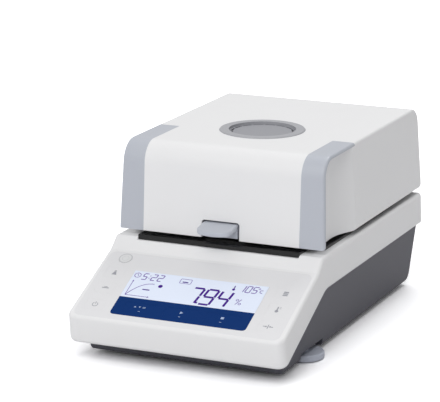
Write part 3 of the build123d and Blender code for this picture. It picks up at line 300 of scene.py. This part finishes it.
# Plane of the keypad: across, up the slope, and out of it
keypad_plane = (
    Matrix.Translation((0, LIP_Y, LIP_Z)) @ Matrix.Rotation(atan2(SLOPE_RISE, SLOPE_RUN), 4, "X")
)


def outline_mesh(loops, thickness):
    """Filled thin mesh of one outline in millimetres, its inner outlines cut out."""
    curve = bpy.data.curves.new("outline", "CURVE")
    curve.dimensions = "2D"
    curve.fill_mode = "BOTH"
    curve.extrude = thickness / 2
    for loop in loops:
        spline = curve.splines.new("POLY")
        spline.points.add(len(loop) - 1)
        for point, (across, up) in zip(spline.points, loop):
            point.co = (across * MM, up * MM, 0, 1)
        spline.use_cyclic_u = True
    drawn = bpy.data.objects.new("outline", curve)
    bpy.context.collection.objects.link(drawn)
    shown = drawn.evaluated_get(bpy.context.evaluated_depsgraph_get())
    mesh = bpy.data.meshes.new_from_object(shown)
    bpy.data.objects.remove(drawn)
    bpy.data.curves.remove(curve)
    return mesh


def print_on(name, groups, material, node, height=LIFT, thickness=PRINT):
    """Thin printed piece on the keypad slope that moves with a body.

    Each group is an outline followed by the outlines cut out of it.
    """
    joined = bmesh.new()
    for group in groups:
        part = outline_mesh(group, thickness)
        joined.from_mesh(part)
        bpy.data.meshes.remove(part)
    mesh = bpy.data.meshes.new(name)
    joined.to_mesh(mesh)
    joined.free()
    mesh.transform(keypad_plane @ Matrix.Translation((0, 0, height)))
    mesh.materials.append(material)
    mark = bpy.data.objects.new(name, mesh)
    bpy.context.collection.objects.link(mark)
    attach(mark, node)


def alone(*loops):
    """Each outline as a group of its own."""
    return [[loop] for loop in loops]


def box_loop(across, up, width, height, corner=0.0, steps=6):
    """Rectangle about its middle, with rounded corners if asked."""
    half_width, half_height = width / 2, height / 2
    if not corner:
        ways = ((-1, -1), (1, -1), (1, 1), (-1, 1))
        return [(across + right * half_width, up + top * half_height) for right, top in ways]
    loop = []
    for quarter, (right, top) in enumerate(((1, 1), (-1, 1), (-1, -1), (1, -1))):
        middle_x = across + right * (half_width - corner)
        middle_y = up + top * (half_height - corner)
        for step in range(steps + 1):
            turn = (quarter + step / steps) * pi / 2
            loop.append((middle_x + corner * cos(turn), middle_y + corner * sin(turn)))
    return loop


def strip_loop(half, low, high, corner, steps=6):
    """Rectangle with square upper corners and round lower ones."""
    round_corners = box_loop(0, (low + high) / 2, 2 * half, high - low, corner, steps)
    lower_corners = round_corners[2 * (steps + 1):]
    return [(-half, high), *lower_corners, (half, high)]


def circle_loop(across, up, radius, steps=40):
    turns = [2 * pi * step / steps for step in range(steps)]
    return [(across + radius * cos(turn), up + radius * sin(turn)) for turn in turns]


def arc_band(across, up, radius, width, start, end, steps=24):
    """Open ring from one angle to another, in degrees."""
    turns = [radians(start + (end - start) * step / steps) for step in range(steps + 1)]
    outer, inner = (
        [(across + edge * cos(turn), up + edge * sin(turn)) for turn in turns]
        for edge in (radius + width / 2, radius - width / 2)
    )
    return outer + inner[::-1]


def stroke(start, end, width):
    """Straight line of a given width."""
    first, last = Vector(start), Vector(end)
    along = last - first
    side = Vector((-along.y, along.x)).normalized() * width / 2
    return [tuple(first + side), tuple(first - side), tuple(last - side), tuple(last + side)]


def ring_loops(across, up, radius, width):
    """Outline and hole of a round ring."""
    return [circle_loop(across, up, radius), circle_loop(across, up, radius - width)]


def box_ring(across, up, width, height, line):
    """Outline and hole of a rectangle drawn with a line."""
    return [
        box_loop(across, up, width, height, 2 * line, 3),
        box_loop(across, up, width - 2 * line, height - 2 * line, line, 3),
    ]


# Bars of a seven-segment figure by their ends, as column and row, and the bars of each figure
SEGMENT_BARS = {
    "a": ((0, 2), (1, 2)), "b": ((1, 1), (1, 2)), "c": ((1, 0), (1, 1)), "d": ((0, 0), (1, 0)),
    "e": ((0, 0), (0, 1)), "f": ((0, 1), (0, 2)), "g": ((0, 1), (1, 1)),
}
DIGIT_BARS = {
    "0": "abcdef", "1": "bc", "2": "abged", "4": "fgbc", "5": "afgcd", "7": "abc", "9": "abcdfg",
}
DIGIT_WIDTH = 0.5
POINT_BACK = 0.16
COLON_ROOM = 0.36
COLON_RISES = (0.3, 0.7)


def digit_loops(text, across, up, height, pitch, bar):
    """Slanted seven-segment figures; a point takes no room and a colon little."""
    loops = []
    for mark in text:
        if mark == ".":
            loops.append(box_loop(across - pitch * POINT_BACK, up + bar / 2, bar, bar))
            continue
        if mark == ":":
            for rise in COLON_RISES:
                lean = FIGURE_SLANT * height * rise
                loops.append(box_loop(across + lean, up + height * rise, bar, bar))
            across += pitch * COLON_ROOM
            continue
        for name in DIGIT_BARS[mark]:
            ends = []
            for column, row in SEGMENT_BARS[name]:
                rise = row / 2 * height
                lean = FIGURE_SLANT * rise
                ends.append(Vector((across + column * height * DIGIT_WIDTH + lean, up + rise)))
            gap = (ends[1] - ends[0]).normalized() * bar * FIGURE_GAP
            loops.append(stroke(ends[0] + gap, ends[1] - gap, bar))
        across += pitch
    return loops


def graph_groups():
    """Two axes with arrow heads, and a curve that rises and levels off."""
    top = GRAPH + Vector((0, GRAPH_HEIGHT))
    right = GRAPH + Vector((GRAPH_WIDTH, 0))
    curve = [
        GRAPH + Vector((
            CURVE_WIDTH * step / CURVE_STEPS,
            CURVE_HEIGHT * (1 - (1 - step / CURVE_STEPS) ** CURVE_BEND),
        ))
        for step in range(CURVE_STEPS + 1)
    ]
    heads = []
    for end, way in ((top, Vector((0, 1))), (right, Vector((1, 0)))):
        base = end - way * ARROW_LAP
        side = Vector((way.y, way.x)) * ARROW_HALF
        heads.append([tuple(base - side), tuple(base + side), tuple(base + way * ARROW_LENGTH)])
    return alone(
        *(stroke(start, end, CURVE_LINE) for start, end in zip(curve, curve[1:])),
        stroke(GRAPH, top, AXIS_LINE),
        stroke(GRAPH, right, AXIS_LINE),
        *heads,
    )


def clock_groups(across, up):
    """Round dial with two hands."""
    hands = ((0.0, 1.8), (1.2, -0.6))
    return [ring_loops(across, up, 3.0, 0.55)] + alone(
        *(stroke((across, up), (across + x, up + y), 0.45) for x, y in hands)
    )


def percent_groups(across, up):
    """Two small rings on either side of a slanted line."""
    return alone(stroke((across - 2.0, up - 3.3), (across + 1.8, up + 3.3), 0.6)) + [
        ring_loops(across + side * 1.6, up - side * 2.1, 1.3, 0.5) for side in (-1, 1)
    ]


def celsius_groups(across, up):
    """Degree ring and open round letter."""
    return [ring_loops(across, up, 0.9, 0.4)] + alone(
        arc_band(across + 2.8, up - 3.0, 1.6, 0.6, 60, 300)
    )


def power_groups(across, up):
    """Open ring with an upright line in its gap."""
    return alone(
        arc_band(across, up, 2.3, 0.5, 125, 415),
        stroke((across, up + 0.6), (across, up + 3.1), 0.55),
    )


def print_groups(across, up):
    """Slot with a shorter line above it."""
    return alone(
        stroke((across - 3.0, up), (across + 3.0, up), 0.9),
        stroke((across - 1.6, up + 1.3), (across + 1.6, up + 1.3), 0.5),
    )


def weight_groups(across, up):
    """Weight with its ring."""
    low, high = up - 2.4, up + 1.2
    body = [(across - 2.2, low), (across + 2.2, low), (across + 0.8, high), (across - 0.8, high)]
    return alone(body) + [ring_loops(across, up + 2.0, 1.0, 0.5)]


def list_groups(across, up):
    """Three lines, one above the other."""
    return alone(*(box_loop(across, up + rise, 4.2, 1.3) for rise in (-1.9, 0.0, 1.9)))


def thermometer_groups(across, up):
    """Thermometer with two scale lines."""
    return alone(
        box_loop(across, up + 1.0, 1.1, 4.6, 0.5),
        circle_loop(across, up - 2.0, 1.5, 20),
        *(
            stroke((across + 1.6, up + rise), (across + 2.9, up + rise), 0.4)
            for rise in (2.6, 1.2)
        ),
    )


def tare_groups(across, up):
    """Two arrows that point at an upright line."""
    groups = alone(stroke((across, up - 2.4), (across, up + 2.4), 0.7))
    for side in (-1, 1):
        shaft = stroke((across + side * 1.9, up), (across + side * 4.4, up), 0.7)
        base = across + side * 2.1
        head = [(across + side * 0.7, up), (base, up + 1.0), (base, up - 1.0)]
        groups += alone(shaft, head)
    return groups


def select_groups(across, up):
    """Small arrows up and down, and two lines."""
    high, low = up + 1.1, up - 0.5
    return alone(
        [(across - 6.4, low), (across - 4.4, low), (across - 5.4, high)],
        [(across - 2.4, high), (across - 0.4, high), (across - 1.4, low)],
        *(box_loop(across + 2.6, up + rise, 2.6, 0.4) for rise in (0.7, -0.3)),
    )


def start_groups(across, up):
    """Triangle that points to the right."""
    return alone([(across - 1.2, up - 1.4), (across - 1.2, up + 1.4), (across + 1.5, up)])


def stop_groups(across, up):
    """Filled square."""
    return alone(box_loop(across, up, 2.6, 2.4))


def make_keypad_print():
    """Blue strip round the soft keys, their signs, and the signs of the side keys."""
    strip = strip_loop(DISPLAY_HALF, STRIP_LOW, STRIP_HIGH, STRIP_CORNER)
    keys_cut = [box_loop(across, SOFT_KEY_UP, *SOFT_KEY_SIZE) for across in SOFT_KEY_X.values()]
    print_on("soft_key_strip", [[strip, *keys_cut]], blue, "base", height=PRINT / 2)
    soft_signs = {
        "key_soft_left": select_groups,
        "key_soft_middle": start_groups,
        "key_soft_right": stop_groups,
    }
    for node, draw in soft_signs.items():
        across = SOFT_KEY_X[node]
        dash = alone(box_loop(across, SOFT_DASH_UP, 1.8, 0.4))
        print_on(node + "_mark", draw(across, SOFT_SIGN_UP) + dash, icon_pale, node)
    low, middle, high = SIDE_KEY_UP
    side_signs = {
        "key_power": (power_groups, -SIDE_KEY_X, low),
        "key_print": (print_groups, -SIDE_KEY_X, middle),
        "key_a": (weight_groups, -SIDE_KEY_X, high),
        "key_b": (list_groups, SIDE_KEY_X, high),
        "key_temperature": (thermometer_groups, SIDE_KEY_X, middle),
        "key_tare": (tare_groups, SIDE_KEY_X, low),
    }
    for node, (draw, across, up) in side_signs.items():
        print_on(node + "_mark", draw(across, up), icon_grey, node)


def make_display_contents():
    """Bright face with its figures, graph and small signs, flush under the window's gloss."""
    middle = (DISPLAY_LOW + DISPLAY_HIGH) / 2
    face = box_loop(0, middle, 2 * DISPLAY_HALF - 0.2, DISPLAY_HIGH - DISPLAY_LOW - 0.1)
    print_on("display_glow", alone(face), lcd, "base")
    signs = {
        "display_result": (segment, alone(*digit_loops(*RESULT_FIGURES))),
        "display_signs": (segment_soft, [
            *alone(*digit_loops(*TIMER_FIGURES), *digit_loops(*HEAT_FIGURES)),
            *graph_groups(),
            *clock_groups(-55.4, 58.4),
            *percent_groups(41.6, 41.3),
            *celsius_groups(53.4, 59.6),
            box_ring(-11.6, 57.8, 10.4, 5.8, 0.45),
        ]),
        "display_dots": (segment, alone(
            circle_loop(-30.6, 48.2, 1.9, 24),
            box_loop(31.8, 58.0, 0.9, 4.0, 0.4),
            circle_loop(31.8, 55.4, 1.3, 20),
            box_loop(-11.6, 56.8, 5.0, 1.2),
            box_loop(-41.0, 42.0, 6.4, 1.2),
        )),
    }
    for name, (material, groups) in signs.items():
        print_on(
            name, groups, material, "base", height=LIFT + PRINT, thickness=PRINT / 2
        )


def make_level_bubble():
    """Pale rim, liquid and centre ring of the round level."""
    rim = [ring_loops(*BUBBLE, BUBBLE_RADIUS, BUBBLE_RIM)]
    liquid = alone(circle_loop(*BUBBLE, BUBBLE_RADIUS - BUBBLE_RIM + 0.05))
    centre = [ring_loops(*BUBBLE, BUBBLE_MARK_RADIUS, 0.3)]
    print_on("level_ring", rim, level_grey, "base")
    print_on("level_face", liquid, level_pale, "base", height=PRINT / 2)
    print_on("level_mark", centre, level_grey, "base")


def make_floor():
    """Pale floor that fades into the white surrounding."""
    bpy.ops.mesh.primitive_plane_add(size=FLOOR_SIZE)
    floor = bpy.context.object
    floor.name = "floor"
    finish = Finish("floor_white")
    seen = finish.node("LightPath", {})[0]
    tint = finish.blend(seen, FLOOR_BOUNCE, FLOOR_SEEN)
    away = finish.node("VectorMath", {"operation": "LENGTH"}, finish.place())[1]
    near_edge, far_edge = FLOOR_FADE
    far = finish.node("MapRange", {}, Value=away, From_Min=near_edge, From_Max=far_edge)[0]
    finish.set(
        Base_Color=tint,
        Roughness=finish.noise(3.0) * 0.1 + 0.9,
        Specular_IOR_Level=0.0,
        Emission_Color=finish.blend(far * seen, BLACK, WHITE),
        Emission_Strength=1.0,
    )
    floor.data.materials.append(finish.material)


def make_world():
    """White surrounding, a little weaker from the right, and plain white to the camera."""
    world = bpy.data.worlds.new("studio")
    bpy.context.scene.world = world
    world.use_nodes = True
    tree = world.node_tree
    direction = tree.nodes.new("ShaderNodeTexCoord")
    parts = tree.nodes.new("ShaderNodeSeparateXYZ")
    fall = tree.nodes.new("ShaderNodeMath")
    fall.operation = "MULTIPLY_ADD"
    fall.inputs[1].default_value = WORLD_FALL
    fall.inputs[2].default_value = WORLD_STRENGTH
    path = tree.nodes.new("ShaderNodeLightPath")
    strength = tree.nodes.new("ShaderNodeMix")
    strength.inputs["B"].default_value = WORLD_SEEN
    sky = tree.nodes["Background"]
    sky.inputs["Color"].default_value = WHITE
    for output, socket in (
        (direction.outputs["Generated"], parts.inputs["Vector"]),
        (parts.outputs["X"], fall.inputs[0]),
        (fall.outputs["Value"], strength.inputs["A"]),
        (path.outputs["Is Camera Ray"], strength.inputs["Factor"]),
        (strength.outputs["Result"], sky.inputs["Strength"]),
    ):
        tree.links.new(output, socket)


def make_lights():
    for name, place, size, power in LIGHTS:
        light = bpy.data.lights.new(name, "AREA")
        light.size = size
        light.energy = power
        lamp = bpy.data.objects.new(name, light)
        bpy.context.collection.objects.link(lamp)
        lamp.location = place
        lamp.rotation_euler = (LIGHT_AIM - Vector(place)).to_track_quat("-Z", "Y").to_euler()


def make_camera():
    camera = bpy.data.cameras.new("photo_camera")
    camera.sensor_width = CAMERA_SENSOR
    camera.lens = CAMERA_LENS
    camera.clip_end = 30.0
    view = bpy.data.objects.new("photo_camera", camera)
    bpy.context.collection.objects.link(view)
    view.location = CAMERA_PLACE
    level = cos(CAMERA_DROP)
    forward = Vector((-sin(CAMERA_TURN) * level, cos(CAMERA_TURN) * level, -sin(CAMERA_DROP)))
    view.rotation_euler = forward.to_track_quat("-Z", "Y").to_euler()
    bpy.context.scene.camera = view


bpy.context.scene.view_settings.view_transform = "Standard"
make_camera()
make_floor()
make_world()
make_lights()
make_keypad_print()
make_display_contents()
make_level_bubble()
